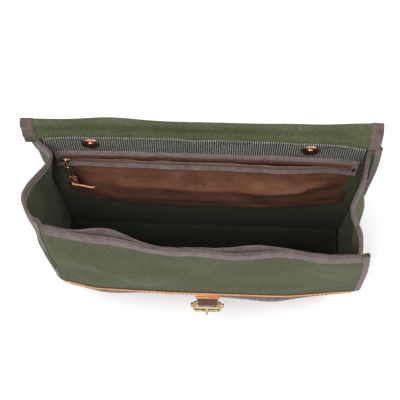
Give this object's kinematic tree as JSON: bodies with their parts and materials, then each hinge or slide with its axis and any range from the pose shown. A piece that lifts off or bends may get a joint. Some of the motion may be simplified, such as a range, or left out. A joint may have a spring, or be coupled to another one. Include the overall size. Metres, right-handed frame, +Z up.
{
  "type": "messenger bag",
  "caption": "Canvas messenger bag with bound seams, leather boot, flap with strap and pin buckle, open mouth, inner zip pocket and D-rings.",
  "frame": {"origin": "centre of the underside of the base, on the surface the bag stands on", "axes": "+X towards the right seen from the front, +Y towards the back, +Z up"},
  "size_m": [0.3822, 0.2393, 0.2721],
  "materials": {
    "canvas": "olive green heavy waxed canvas, matt, fine plain weave",
    "binding": "mauve-brown cotton twill tape, matt, sewn with one stitch line",
    "leather": "dark brown bridle leather, satin, with raw tan cut edges",
    "lace": "raw tan leather lace, matt",
    "webbing": "dark grey webbing with light grey warp yarns, matt",
    "zip_tape": "mauve herringbone zip tape, matt",
    "zip_coil": "brown nylon coil teeth",
    "pocket_nylon": "smooth brown lining cloth, slightly glossy",
    "copper": "polished copper",
    "brass": "polished antique brass"
  },
  "bodies": {
    "root": {"back_panel": "canvas", "back_seam_binding_left": "binding", "back_seam_binding_right": "binding", "base_panel": "canvas", "buckle_tab": "leather", "front_panel": "canvas", "front_pocket_panel": "canvas", "front_rim_binding": "binding", "front_seam_binding_left": "binding", "front_seam_binding_right": "binding", "gusset_binding_left": "binding", "gusset_binding_right": "binding", "gusset_left": "canvas", "gusset_right": "canvas", "leather_boot": "leather", "pocket_rim_binding": "binding", "ring_tab_left": "leather", "ring_tab_right": "leather", "rivet_left": "copper", "rivet_right": "copper", "webbing_strip": "webbing", "zip_pocket_bag": "pocket_nylon", "zip_stop_left": "copper", "zip_stop_right": "copper", "zip_tape_lower": "zip_tape", "zip_tape_upper": "zip_tape", "zip_teeth_lower": "zip_coil", "zip_teeth_upper": "zip_coil"},
    "flap_top": {"flap_top": "canvas", "flap_top_binding_left": "binding", "flap_top_binding_right": "binding"},
    "flap_front": {"flap_front": "canvas", "flap_front_binding_left": "binding", "flap_front_binding_right": "binding", "flap_edge_binding": "binding", "strap_sewn": "leather"},
    "strap_tail": {"strap_tail": "leather"},
    "ring_left": {"d_ring_left": "brass"},
    "ring_right": {"d_ring_right": "brass"},
    "zip_slider": {"zip_slider": "copper"},
    "zip_pull": {"zip_pull_wire": "copper", "zip_pull_leather": "leather", "zip_pull_lace": "lace"},
    "buckle_frame": {"buckle_frame": "brass", "buckle_sleeve_left": "brass", "buckle_sleeve_right": "brass"},
    "buckle_prong": {"buckle_prong": "brass"}
  },
  "joints": [
    {"name": "flap_hinge", "type": "hinge", "parent": "root", "child": "flap_top", "pos_m": [0, 0.072, 0.2735], "axis": [1, 0, 0], "range_deg": [0, 268]},
    {"name": "flap_fold", "type": "hinge", "parent": "flap_top", "child": "flap_front", "pos_m": [0, 0.08935, 0.10841], "axis": [1, 0, 0], "range_deg": [0, 86]},
    {"name": "strap_flex", "type": "hinge", "parent": "flap_front", "child": "strap_tail", "pos_m": [0.011, 0.09356, 0.03344], "axis": [1, 0, 0], "range_deg": [-58, 0]},
    {"name": "ring_left_swing", "type": "hinge", "parent": "root", "child": "ring_left", "pos_m": [-0.121, 0.06005, 0.222], "axis": [1, 0, 0], "range_deg": [0, 30]},
    {"name": "ring_right_swing", "type": "hinge", "parent": "root", "child": "ring_right", "pos_m": [0.117, 0.06005, 0.222], "axis": [1, 0, 0], "range_deg": [0, 30]},
    {"name": "zip_slide", "type": "slide", "parent": "root", "child": "zip_slider", "axis": [1, 0, 0], "range_m": [0, 0.276]},
    {"name": "pull_swing", "type": "hinge", "parent": "zip_slider", "child": "zip_pull", "pos_m": [-0.142, 0.04196, 0.2055], "axis": [-1, 0, 0], "range_deg": [0, 70]},
    {"name": "buckle_swing", "type": "hinge", "parent": "root", "child": "buckle_frame", "pos_m": [0.011, -0.08474, 0.119], "axis": [-1, 0, 0], "range_deg": [-4, 55]},
    {"name": "prong_swing", "type": "hinge", "parent": "buckle_frame", "child": "buckle_prong", "pos_m": [0.011, -0.08585, 0.11108], "axis": [-1, 0, 0], "range_deg": [0, 60]}
  ],
  "couplings": [
    {"joint": "flap_fold", "follows": "flap_hinge", "ratio": 0.3208},
    {"joint": "strap_flex", "follows": "flap_hinge", "ratio": -0.2164}
  ]
}
